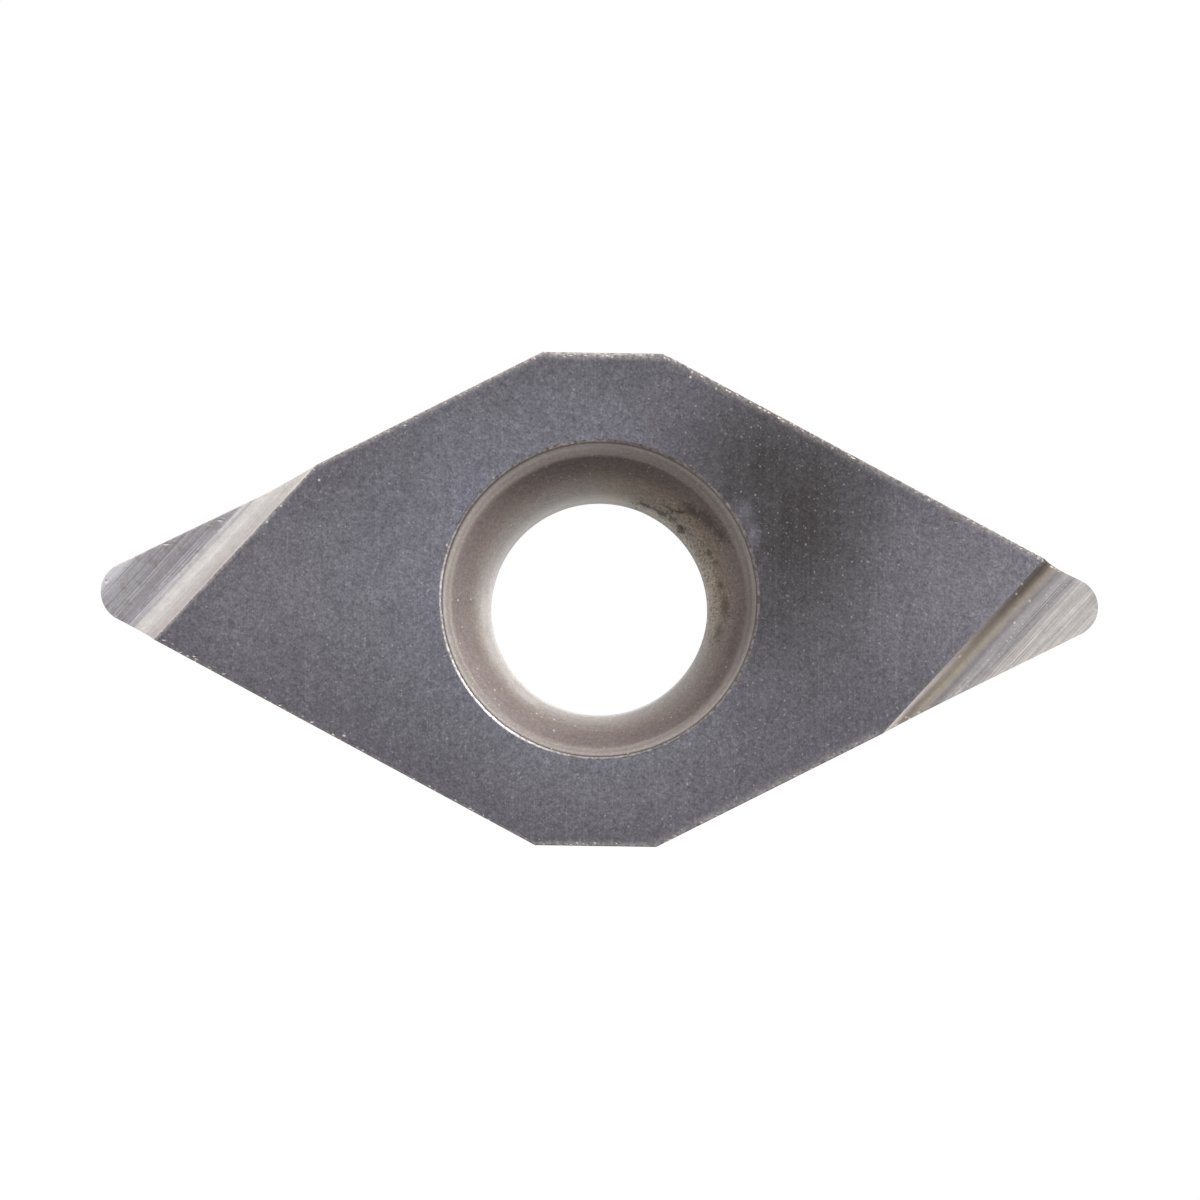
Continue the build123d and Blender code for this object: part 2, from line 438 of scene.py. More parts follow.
# Uneven flecks: where noise of that size passes from low to high, from 0 to the share.
def flecks(tree, place, size, low, high, share, detail=1.5):
    noise = addNode(tree, "ShaderNodeTexNoise", None,
                    {"Vector": place, "Scale": 1 / (size * mm), "Detail": detail, "Roughness": 0.6})
    return addNode(tree, "ShaderNodeMapRange", smooth,
                   {0: noise.outputs["Fac"], 1: low, 2: high, 3: 0.0, 4: share}).outputs[0]


# Fine lines along a bearing: noise squeezed to a width across them and drawn out to a length along.
def lines(tree, place, bearing, width, length, low, high, start=0.3, end=0.7):
    turned = addNode(tree, "ShaderNodeVectorRotate", {"rotation_type": "Z_AXIS"},
                     {"Vector": place, "Angle": -bearing})
    squeezed = addNode(tree, "ShaderNodeVectorMath", times,
                       {0: turned.outputs["Vector"], 1: (1 / (length * mm), 1 / (width * mm), 1 / (length * mm))})
    noise = addNode(tree, "ShaderNodeTexNoise", None,
                    {"Vector": squeezed.outputs[0], "Scale": 1.0, "Detail": 2.0, "Roughness": 0.6})
    return addNode(tree, "ShaderNodeMapRange", None,
                   {0: noise.outputs["Fac"], 1: start, 2: end, 3: low, 4: high}).outputs[0]


# Bright points: one dot in each cell, at the share ((c - 1 + part) / part)^1.5 for the cell's random
# value c, and none where that is below 0.
def points(tree, place, cell, radius, part, flat):
    cells = addNode(tree, "ShaderNodeTexVoronoi", {"voronoi_dimensions": "2D" if flat else "3D"},
                    {"Vector": place, "Scale": 1 / (cell * mm)})
    value = addNode(tree, "ShaderNodeSeparateColor", None, {"Color": cells.outputs["Color"]})
    chance = addNode(tree, "ShaderNodeMapRange", None, {0: value.outputs[0], 1: 1 - part, 2: 1.0})
    bright = addNode(tree, "ShaderNodeMath", {"operation": "POWER"}, {0: chance.outputs[0], 1: 1.5})
    near = addNode(tree, "ShaderNodeMapRange", None,
                   {0: cells.outputs["Distance"], 1: radius / cell * 0.4, 2: radius / cell, 3: 1.0, 4: 0.0})
    return addNode(tree, "ShaderNodeMath", times, {0: bright.outputs[0], 1: near.outputs[0]}).outputs[0]


# A side of the hole: smooth(cosine of the angle to the bearing) times smooth(radius).
def sideOf(tree, place, bearing, cosFrom, cosTo, radiusFrom, radiusTo):
    turn = math.radians(bearing)
    level = addNode(tree, "ShaderNodeVectorMath", times, {0: place, 1: (1 / mm, 1 / mm, 0)}).outputs[0]
    radius = addNode(tree, "ShaderNodeVectorMath", {"operation": "LENGTH"}, {0: level}).outputs["Value"]
    unit = addNode(tree, "ShaderNodeVectorMath", {"operation": "NORMALIZE"}, {0: level}).outputs[0]
    dot = addNode(tree, "ShaderNodeVectorMath", {"operation": "DOT_PRODUCT"},
                  {0: unit, 1: (math.cos(turn), math.sin(turn), 0)}).outputs["Value"]
    facing = addNode(tree, "ShaderNodeMapRange", smooth, {0: dot, 1: cosFrom, 2: cosTo})
    inBand = addNode(tree, "ShaderNodeMapRange", smooth, {0: radius, 1: radiusFrom, 2: radiusTo})
    return addNode(tree, "ShaderNodeMath", times, {0: facing.outputs[0], 1: inBand.outputs[0]}).outputs[0]


# A soft round patch: the value middle at (x, y), easing to the value rim at the half sizes.
def patch(tree, place, x, y, halfX, halfY, rim=0.0, middle=1.0):
    moved = addNode(tree, "ShaderNodeVectorMath", {"operation": "SUBTRACT"}, {0: place, 1: (x * mm, y * mm, 0)})
    unit = addNode(tree, "ShaderNodeVectorMath", times,
                   {0: moved.outputs[0], 1: (1 / (halfX * mm), 1 / (halfY * mm), 0)})
    far = addNode(tree, "ShaderNodeVectorMath", {"operation": "LENGTH"}, {0: unit.outputs[0]})
    return addNode(tree, "ShaderNodeMapRange", smooth,
                   {0: far.outputs["Value"], 1: 1.0, 2: 0.0, 3: rim, 4: middle}).outputs[0]


wornTones = {
    "rubbed": "#f3e7df", "freshBreakGlint": "#e6ded7",
    # single nicks as (x, y), too small for the mesh, and their radius
    "nicks": [(-4.282, 0.927), (-4.105, 1.135), (5.682, 0.578), (5.353, 0.153), (5.422, 0.278), (5.527, 0.074),
              (5.339, -0.209), (4.639, -0.661), (-1.376, 1.538), (1.093, 3.007), (1.146, 2.943), (1.127, 2.878),
              (-3.623, 1.478), (-1.966, 0.666)],
    "nickRadius": 0.020,
}


# The edge has been rubbed bright and a little warm. Chips and single nicks show the fresh, matt break
# in a pale colour that is partly its own and partly a painted glint: 1 within half the nicks' radius, 0
# past it, by the distance to the nearest.
def wornEdge(tree, place, turned, colour, rubbed):
    uneven = addNode(tree, "ShaderNodeMath", times, {0: rubbed, 1: grain(tree, turned, 0.050, 0.80, 2.0)})
    colour = addNode(tree, "ShaderNodeMix", mixed,
                     {0: uneven.outputs[0], 6: colour, 7: hexColour(wornTones["rubbed"])}).outputs[2]
    level = addNode(tree, "ShaderNodeVectorMath", times, {0: place, 1: (1, 1, 0)}).outputs[0]
    nearest = 1.0
    for x, y in wornTones["nicks"]:
        away = addNode(tree, "ShaderNodeVectorMath", {"operation": "DISTANCE"}, {0: level, 1: (x * mm, y * mm, 0)})
        nearest = addNode(tree, "ShaderNodeMath", {"operation": "MINIMUM"},
                          {0: nearest, 1: away.outputs["Value"]}).outputs[0]
    radius = wornTones["nickRadius"] * mm
    nick = addNode(tree, "ShaderNodeMapRange", None, {0: nearest, 1: radius, 2: radius / 2, 3: 0.0, 4: 0.75})
    chip = addNode(tree, "ShaderNodeAttribute", {"attribute_name": "chip"})
    chip = addNode(tree, "ShaderNodeMapRange", smooth, {0: chip.outputs["Fac"], 1: 0.10, 2: 0.60, 3: 0.0, 4: 0.85})
    broken = addNode(tree, "ShaderNodeMath", {"operation": "MAXIMUM"}, {0: nick.outputs[0], 1: chip.outputs[0]})
    # chips and nicks drawn pale: their fresh break, and partly a painted glint
    colour = addNode(tree, "ShaderNodeMix", mixed,
                     {0: broken.outputs[0], 6: colour, 7: hexColour(wornTones["freshBreakGlint"])}).outputs[2]
    metallic = addNode(tree, "ShaderNodeMath", timesPlus, {0: broken.outputs[0], 1: -0.7, 2: 1.0}).outputs[0]
    return colour, metallic


lappedFinish = {
    "plain": "#716f75", "blue": "#71707b", "roughness": 0.46,
    # drawn a little coarser than the real grit marks, which are finer than a pixel
    "grains": [(0.40, 0.07, 3.0), (0.15, 0.06, 2.0), (0.066, 0.17, 2.0), (0.030, 0.22, 1.0)],
    "flecks": [(0.032, 0.64, 0.78, 0.32), (0.070, 0.70, 0.80, 0.38)],
    "scratches": {"width": 0.024, "length": 2.2, "gain": 0.22},
    "specks": {"cell": 0.12, "radius": 0.015, "part": 0.30, "share": 0.42},
    # soft light patches as (x, y, half sizes, gain); round the first one the bloom is also bluest
    "patches": [(-0.6, 0.35, 4.0, 3.5, 0.56), (5.4, 0.05, 3.5, 1.9, 0.49), (0.2, -2.1, 2.5, 1.35, 0.25),
                (-4.2, 0.05, 2.3, 1.8, 0.24), (1.82, 1.18, 0.20, 0.24, 0.75),
                (1.97, 0.84, 0.13, 0.26, 1.30)],
    # brownish stains as (x, y, half sizes, share)
    "stains": [(2.5, 1.05, 1.65, 2.70, 0.84), (2.1, 1.6, 2.15, 1.70, 0.80), (1.95, 0.0, 2.40, 1.50, 0.59)],
    "stainTone": "#494443", "stainUneven": (0.45, 0.09, 3.0), "stainCalm": 0.3,
    "streaks": {"width": 0.070, "length": 4.0, "low": 0.80, "high": 1.20},
    # beside a groove's top line: how far, and how much it is rubbed on the -X and the +X side
    "lips": {"reach": 0.05, "minus": 0.30, "plus": 0.05},
}


# Cemented carbide, lapped flat and left with a thin bloom: dull and bluish, with a salt-and-pepper
# grain, pale flecks, faint scratches along Y and a brownish stain beside the hole.
def lappedCarbide(f):
    material, tree = newMaterial("lappedCarbide", f["plain"])
    place, turned = placeOf(tree)
    scratches, streaks, lips = f["scratches"], f["streaks"], f["lips"]
    factors = [grain(tree, turned, *values) for values in f["grains"]]
    factors.append(lines(tree, place, math.pi / 2, scratches["width"], scratches["length"], 1.0,
                         1 + scratches["gain"], 0.55, 0.75))
    tone = factors[0]
    for factor in factors[1:]:
        tone = addNode(tree, "ShaderNodeMath", times, {0: tone, 1: factor}).outputs[0]
    light = tone
    for x, y, halfX, halfY, gain in f["patches"]:
        spot = patch(tree, place, x, y, halfX, halfY, 1.0, 1 + gain)
        light = addNode(tree, "ShaderNodeMath", times, {0: light, 1: spot}).outputs[0]
    bluest = patch(tree, place, *f["patches"][0][:4])
    bluest = addNode(tree, "ShaderNodeMath", times, {0: bluest, 1: grain(tree, turned, 0.5, 0.6, 2.0)}).outputs[0]
    colour = addNode(tree, "ShaderNodeMix", mixed,
                     {0: bluest, 6: hexColour(f["plain"]), 7: hexColour(f["blue"])}).outputs[2]
    colour = addNode(tree, "ShaderNodeMix", tinted, {0: 1.0, 6: colour, 7: light}).outputs[2]

    stain = 0.0
    for x, y, halfX, halfY, share in f["stains"]:
        spot = patch(tree, place, x, y, halfX, halfY, 0.0, share)
        stain = addNode(tree, "ShaderNodeMath", {"operation": "MAXIMUM"}, {0: stain, 1: spot}).outputs[0]
    stain = addNode(tree, "ShaderNodeMath", times, {0: stain, 1: grain(tree, turned, *f["stainUneven"])}).outputs[0]
    streak = lines(tree, place, math.pi / 2, streaks["width"], streaks["length"], streaks["low"], streaks["high"])
    calm = addNode(tree, "ShaderNodeMix", None, {0: f["stainCalm"], 2: tone, 3: 1.0}).outputs[0]
    streak = addNode(tree, "ShaderNodeMath", times, {0: streak, 1: calm}).outputs[0]
    stainTone = addNode(tree, "ShaderNodeMix", tinted, {0: 1.0, 6: hexColour(f["stainTone"]), 7: streak}).outputs[2]
    colour = addNode(tree, "ShaderNodeMix", mixed, {0: stain, 6: colour, 7: stainTone}).outputs[2]
    specks = f["specks"]
    speck = addNode(tree, "ShaderNodeMath", times,
                    {0: points(tree, place, specks["cell"], specks["radius"], specks["part"], True),
                     1: specks["share"]}).outputs[0]
    for share in [flecks(tree, turned, *values) for values in f["flecks"]] + [speck]:
        colour = addNode(tree, "ShaderNodeMix", mixed, {0: share, 6: colour, 7: hexColour("#d9d6d8")}).outputs[2]

    across = addNode(tree, "ShaderNodeVectorMath", {"operation": "DOT_PRODUCT"},
                     {0: place, 1: (towardsNose[0] / mm, towardsNose[1] / mm, 0)}).outputs["Value"]
    rubbed = addNode(tree, "ShaderNodeAttribute", {"attribute_name": "rubbed"}).outputs["Fac"]
    for sign, share in ((1, lips["minus"]), (-1, lips["plus"])):
        lip = addNode(tree, "ShaderNodeMapRange", smooth,
                      {0: across, 1: sign * (grooveDistance - lips["reach"]), 2: sign * grooveDistance,
                       3: 0.0, 4: share})
        rubbed = addNode(tree, "ShaderNodeMath", {"operation": "MAXIMUM"}, {0: rubbed, 1: lip.outputs[0]}).outputs[0]
    colour, metallic = wornEdge(tree, place, turned, colour, rubbed)
    bump = addNode(tree, "ShaderNodeBump", None, {"Strength": 0.2, "Distance": 0.002 * mm, "Height": tone})
    shader = addNode(tree, "ShaderNodeBsdfPrincipled", None,
                     {"Base Color": colour, "Metallic": metallic, "Roughness": f["roughness"],
                      "Normal": bump.outputs["Normal"]})
    addNode(tree, "ShaderNodeOutputMaterial", None, {"Surface": shader.outputs["BSDF"]})
    return material


# The two chip breakers were partly burnished unlike, and their tones also hold painted light and shade
# of the curved wall and the rake face: tones of each by the distance in mm from the groove's wall line
# towards the nose.
breakerFinish = {
    "roughness": 0.4,
    "minusTones": [(0.0, "#e7e0db"), (0.03, "#cbc6c3"), (0.08, "#b8b2af"), (0.12, "#aba7a4"), (0.17, "#b2aeac"),
                   (0.22, "#d7d2cf"), (0.28, "#dedad8"), (0.31, "#c5c1c2"), (0.34, "#e7e3e6"),
                   (0.38, "#d4cfd6"), (0.46, "#cec9d0"), (0.53, "#bfb9be"), (0.62, "#cdc9cd"),
                   (0.74, "#c3bfc5"), (0.84, "#cac8cc"), (0.95, "#faf6fc")],
    "plusTones": [(0.0, "#dcd4cf"), (0.05, "#b2a89e"), (0.09, "#bfb3a6"), (0.13, "#d6cabb"), (0.155, "#d2c6b7"),
                  (0.19, "#c7beb9"), (0.24, "#a9a4a5"), (0.3, "#aea9aa"), (0.34, "#b2adaf"),
                  (0.39, "#a7a3a4"), (0.43, "#989496"), (0.5, "#b1abac"), (0.58, "#c5c0be"),
                  (0.7, "#c0bcba"), (0.84, "#bbb6b3"), (0.95, "#c5c0be")],
    "rampReach": 1.1,
    "wander": (0.6, 1.1, 0.010),   # width, length and size of the bands' straying from their line
    "fine": (0.017, 1.3, 0.30), "broad": (0.085, 3.5, 0.07),    # width, length and swing of the lines
    "rakeFrom": (0.27, 0.36),      # the wall is smooth, the rake face is lined
    "wallPaintedShade": {"from": 1.6, "to": 4.3, "low": 1.12, "high": 0.76, "width": 0.22},
    "paleStrip": {"from": 1.2, "to": 3.0, "width": 0.036, "share": 0.25},
    # painted light and shade on the top of that wall along the groove: (from, to, gain before, gain after)
    "wallTop": [(1.6, 2.7, 0.74, 1.33), (3.0, 4.0, 1.0, 0.72)], "wallTopWidth": 0.13,
    "mottle": (0.11, 0.52, 0.66, 0.42, 3.0), "mottleOnPlus": 0.3,
    "paintedGlint": {"cell": 0.05, "radius": 0.012, "part": 0.5, "share": 0.6},
}


# The same carbide freshly ground by a fine diamond wheel: bright and warm, lined along the groove.
def groundCarbide(f):
    material, tree = newMaterial("groundCarbide", "#b8b5b2")
    place, turned = placeOf(tree)
    across = addNode(tree, "ShaderNodeVectorMath", {"operation": "DOT_PRODUCT"},
                     {0: place, 1: (towardsNose[0] / mm, towardsNose[1] / mm, 0)}).outputs["Value"]
    plusSide = addNode(tree, "ShaderNodeMath", {"operation": "LESS_THAN"}, {0: across, 1: 0.0}).outputs[0]
    across = addNode(tree, "ShaderNodeMath", {"operation": "ABSOLUTE"}, {0: across}).outputs[0]
    wander = f["wander"]
    stray = lines(tree, place, grooveAngle, wander[0], wander[1], -grooveDistance - wander[2],
                  -grooveDistance + wander[2])
    width = addNode(tree, "ShaderNodeMath", {"operation": "ADD"}, {0: across, 1: stray}).outputs[0]
    along = addNode(tree, "ShaderNodeVectorMath", {"operation": "DOT_PRODUCT"},
                    {0: place, 1: (math.cos(grooveAngle) / mm, math.sin(grooveAngle) / mm, 0)}).outputs["Value"]
    along = addNode(tree, "ShaderNodeMath", {"operation": "ABSOLUTE"}, {0: along}).outputs[0]
    inRamp = addNode(tree, "ShaderNodeMath", {"operation": "DIVIDE"}, {0: width, 1: f["rampReach"]}).outputs[0]
    # painted light and shade of the wall and rake, together with their burnish, in these tones
    tones = [fillRamp(addNode(tree, "ShaderNodeValToRGB", None, {"Fac": inRamp}), f[key], 0.0, f["rampReach"])
             for key in ("minusTones", "plusTones")]
    colour = addNode(tree, "ShaderNodeMix", mixed, {0: plusSide, 6: tones[0], 7: tones[1]}).outputs[2]

    # on the +X side painted shade darkens the wall along the groove, under a pale strip that narrows to nothing
    dark, strip = f["wallPaintedShade"], f["paleStrip"]
    shade = addNode(tree, "ShaderNodeMapRange", smooth,
                    {0: along, 1: dark["from"], 2: dark["to"], 3: dark["low"], 4: dark["high"]}).outputs[0]
    nearWall = addNode(tree, "ShaderNodeMapRange", smooth,
                       {0: width, 1: dark["width"], 2: dark["width"] / 2, 3: 0.0, 4: 1.0}).outputs[0]
    nearWall = addNode(tree, "ShaderNodeMath", times, {0: nearWall, 1: plusSide}).outputs[0]
    shaded = addNode(tree, "ShaderNodeMix", tinted, {0: nearWall, 6: colour, 7: shade}).outputs[2]
    # painted light and shade on the top of the +X wall, by the place along the groove
    nearTop = addNode(tree, "ShaderNodeMapRange", smooth,
                      {0: width, 1: f["wallTopWidth"], 2: f["wallTopWidth"] / 3, 3: 0.0, 4: 1.0}).outputs[0]
    nearTop = addNode(tree, "ShaderNodeMath", times, {0: nearTop, 1: plusSide}).outputs[0]
    for start, end, before, after in f["wallTop"]:
        gain = addNode(tree, "ShaderNodeMapRange", smooth, {0: along, 1: start, 2: end, 3: before, 4: after})
        shaded = addNode(tree, "ShaderNodeMix", tinted, {0: nearTop, 6: shaded, 7: gain.outputs[0]}).outputs[2]
    stripEnd = addNode(tree, "ShaderNodeMapRange", None,
                       {0: along, 1: strip["from"], 2: strip["to"], 3: strip["width"], 4: 0.0}).outputs[0]
    inside = addNode(tree, "ShaderNodeMath", {"operation": "SUBTRACT"}, {0: stripEnd, 1: width}).outputs[0]
    inside = addNode(tree, "ShaderNodeMapRange", smooth,
                     {0: inside, 1: -0.006, 2: 0.012, 3: 0.0, 4: strip["share"]}).outputs[0]
    inside = addNode(tree, "ShaderNodeMath", times, {0: inside, 1: plusSide}).outputs[0]
    colour = addNode(tree, "ShaderNodeMix", mixed, {0: inside, 6: shaded, 7: hexColour("#d8cfcd")}).outputs[2]

    onRake = addNode(tree, "ShaderNodeMapRange", smooth,
                     {0: width, 1: f["rakeFrom"][0], 2: f["rakeFrom"][1], 3: 0.25, 4: 1.0}).outputs[0]
    fine, broad = (lines(tree, place, grooveAngle, values[0], values[1], -values[2], values[2])
                   for values in (f["fine"], f["broad"]))
    both = addNode(tree, "ShaderNodeMath", {"operation": "ADD"}, {0: fine, 1: broad}).outputs[0]
    tone = addNode(tree, "ShaderNodeMath", timesPlus, {0: both, 1: onRake, 2: 1.0}).outputs[0]
    for factor in (grain(tree, turned, 0.03, 0.06), grain(tree, turned, 0.16, 0.06, 2.0)):
        tone = addNode(tree, "ShaderNodeMath", times, {0: tone, 1: factor}).outputs[0]
    colour = addNode(tree, "ShaderNodeMix", tinted, {0: 1.0, 6: colour, 7: tone}).outputs[2]
    brown = addNode(tree, "ShaderNodeMath", times, {0: onRake, 1: flecks(tree, turned, *f["mottle"])}).outputs[0]
    onSide = addNode(tree, "ShaderNodeMath", timesPlus, {0: plusSide, 1: f["mottleOnPlus"] - 1, 2: 1.0}).outputs[0]
    brown = addNode(tree, "ShaderNodeMath", times, {0: brown, 1: onSide}).outputs[0]
    colour = addNode(tree, "ShaderNodeMix", tinted, {0: brown, 6: colour, 7: hexColour("#d3c6b0")}).outputs[2]

    # painted glints: white points along the foot of the wall, where crushed grains glitter
    paintedGlint = f["paintedGlint"]
    foot = addNode(tree, "ShaderNodeMapRange", smooth, {0: width, 1: 0.50, 2: 0.36, 3: 0.25, 4: 1.0}).outputs[0]
    foot = addNode(tree, "ShaderNodeMath", times, {0: foot, 1: onRake}).outputs[0]
    glintDots = points(tree, place, paintedGlint["cell"], paintedGlint["radius"], paintedGlint["part"], True)
    for factor in (foot, paintedGlint["share"]):
        glintDots = addNode(tree, "ShaderNodeMath", times, {0: glintDots, 1: factor}).outputs[0]
    colour = addNode(tree, "ShaderNodeMix", mixed, {0: glintDots, 6: colour, 7: hexColour("#ffffff")}).outputs[2]
    rubbed = addNode(tree, "ShaderNodeAttribute", {"attribute_name": "rubbed"}).outputs["Fac"]
    colour, metallic = wornEdge(tree, place, turned, colour, rubbed)
    bump = addNode(tree, "ShaderNodeBump", None, {"Strength": 0.12, "Distance": 0.002 * mm, "Height": tone})
    shader = addNode(tree, "ShaderNodeBsdfPrincipled", None,
                     {"Base Color": colour, "Metallic": metallic, "Roughness": f["roughness"],
                      "Normal": bump.outputs["Normal"]})
    addNode(tree, "ShaderNodeOutputMaterial", None, {"Surface": shader.outputs["BSDF"]})
    return material


holeFinish = {
    "roughness": 0.5, "metallic": 0.5,
    "grains": [(0.30, 0.05, 2.0), (0.05, 0.14, 2.0), (0.02, 0.14, 1.0)],
    # tone by the distance in mm from the hole's axis, which also holds painted light and shade of the curved seat, the
    # crease and the cone
    "tones": [(1.4, "#bfbab6"), (1.46, "#a39d99"), (1.56, "#9c938e"), (1.64, "#978b86"), (1.72, "#948884"),
              (1.8, "#8e8280"), (1.86, "#8f8380"), (1.91, "#a59994"), (1.95, "#a39892"), (1.99, "#b4aba6"),
              (2.004, "#a99f9a"), (2.018, "#665c59")],
    "rampStart": 1.35, "rampReach": 0.7,
    # painted light and shade: sides lighter and darker by how the light falls, as (bearing, cosines from and to, radii
    # from and to, gain)
    "sides": [(228, 0.0, 0.85, 1.70, 1.42, 0.66), (268, 0.4, 0.9, 1.46, 1.42, 0.16),
              (300, 0.85, 1.0, 1.46, 1.42, 0.18), (0, 0.8, 1.0, 1.47, 1.42, -0.14),
              (225, 0.0, 1.0, 1.90, 1.86, 0.14), (68, 0.2, 0.95, 1.90, 1.86, -0.27),
              (52, 0.75, 1.0, 1.58, 1.44, -0.24), (82, 0.5, 0.95, 1.60, 1.72, -0.16),
              (0, 0.7, 1.0, 1.50, 1.56, -0.10), (335, 0.7, 1.0, 1.70, 1.78, -0.18),
              (30, 0.35, 0.9, 1.87, 1.91, -0.33), (32, 0.35, 0.9, 1.985, 2.005, 0.24),
              (335, 0.6, 1.0, 1.94, 1.99, 0.12), (195, 0.3, 1.0, 1.87, 1.91, 0.18),
              (328, 0.85, 1.0, 1.88, 1.91, 0.14), (150, 0.8, 1.0, 1.96, 1.985, -0.13),
              (24, 0.70, 1.0, 1.90, 1.82, 0.24), (270, 0.85, 1.0, 1.64, 1.56, -0.12),
              (60, -0.1, 0.8, 1.985, 2.01, 0.12), (250, 0.2, 1.0, 1.985, 2.01, -0.24)],
    "film": (40, 0.30, 0.95, 1.86, 1.50), "filmColour": "#f8f0dc",
    "filmFlecks": (0.027, 0.46, 0.64, 0.46, 3.0), "filmFleckSide": (24, 0.45, 0.95, 1.80, 1.46),
    # blots given as (x, y, half length, half width, bearing of the length, share)
    "dirt": [(0.571, 1.315, 0.15, 0.028, -20, 0.62), (0.80, 1.200, 0.14, 0.038, -33, 0.56),
             (0.93, 1.13, 0.13, 0.028, -40, 0.48), (1.040, 1.005, 0.095, 0.050, -42, 0.74),
             (1.02, 1.200, 0.20, 0.032, -12, 0.62), (0.86, 1.27, 0.10, 0.028, -25, 0.52),
             (1.18, 1.20, 0.24, 0.110, -33, 0.55), (1.38, 1.08, 0.28, 0.120, -42, 0.50),
             (1.54, 0.92, 0.20, 0.090, -55, 0.46), (1.655, 0.800, 0.040, 0.028, -60, 0.65),
             (1.405, 0.679, 0.07, 0.050, -60, 0.50), (1.50, 0.55, 0.07, 0.045, -70, 0.45),
             (1.62, -0.02, 0.28, 0.090, -88, 0.52), (1.56, 0.26, 0.12, 0.060, -75, 0.48),
             (1.54, -0.34, 0.16, 0.070, -100, 0.48)],
    "dirtColour": "#463f33", "dirtUneven": (0.032, 0.85, 3.0),
    # painted highlights: pale blots deep in the hole on its lit side, in the same columns
    "paintedHighlightBlots": [(-1.475, -0.105, 0.34, 0.085, 92, 0.62), (-1.375, -0.58, 0.34, 0.085, 114, 0.48),
               (-0.93, -1.20, 0.28, 0.070, 142, 0.72), (-1.16, -0.95, 0.22, 0.055, 129, 0.45)],
    "paintedHighlightColour": "#dedad5", "paintedHighlightUneven": (0.030, 0.45, 3.0),
    "drawnOut": 0.15,
    "rings": (0.034, 1.8, 0.14),   # width, length and swing of the turned lines in the cone
    "pale": (0.026, 0.66, 0.80, 0.45),
    # painted glints: pale points, most of them on the hole's lit side
    "paintedGlint": {"cell": 0.085, "radius": 0.019, "part": 0.55, "share": 1.0, "elsewhere": 0.35},
    "paintedGlintSide": (240, -0.1, 0.7, 1.42, 1.5),
    # painted glints: pale flecks on the lit side of the cone
    "coneGlintFlecks": (0.022, 0.54, 0.70, 0.50, 2.0), "coneGlintSide": (226, 0.45, 1.0, 1.86, 1.92),
}


# Blots broken up by noise: the highest of share * smooth(1 - d * grain), with d the length of the place
# in a blot's own axes over its half sizes.
def blots(tree, level, drawn, spots, uneven):
    ragged = grain(tree, drawn, *uneven)
    highest = 0.0
    for x, y, halfLong, halfWide, bearing, share in spots:
        moved = addNode(tree, "ShaderNodeVectorMath", {"operation": "SUBTRACT"}, {0: level, 1: (x * mm, y * mm, 0)})
        own = addNode(tree, "ShaderNodeVectorRotate", {"rotation_type": "Z_AXIS"},
                      {"Vector": moved.outputs[0], "Angle": -math.radians(bearing)})
        unit = addNode(tree, "ShaderNodeVectorMath", times,
                       {0: own.outputs["Vector"], 1: (1 / (halfLong * mm), 1 / (halfWide * mm), 0)})
        far = addNode(tree, "ShaderNodeVectorMath", {"operation": "LENGTH"}, {0: unit.outputs[0]})
        far = addNode(tree, "ShaderNodeMath", times, {0: far.outputs["Value"], 1: ragged})
        spot = addNode(tree, "ShaderNodeMapRange", smooth, {0: far.outputs[0], 1: 1.0, 2: 0.15, 3: 0.0, 4: share})
        highest = addNode(tree, "ShaderNodeMath", {"operation": "MAXIMUM"}, {0: highest, 1: spot.outputs[0]}).outputs[0]
    return highest
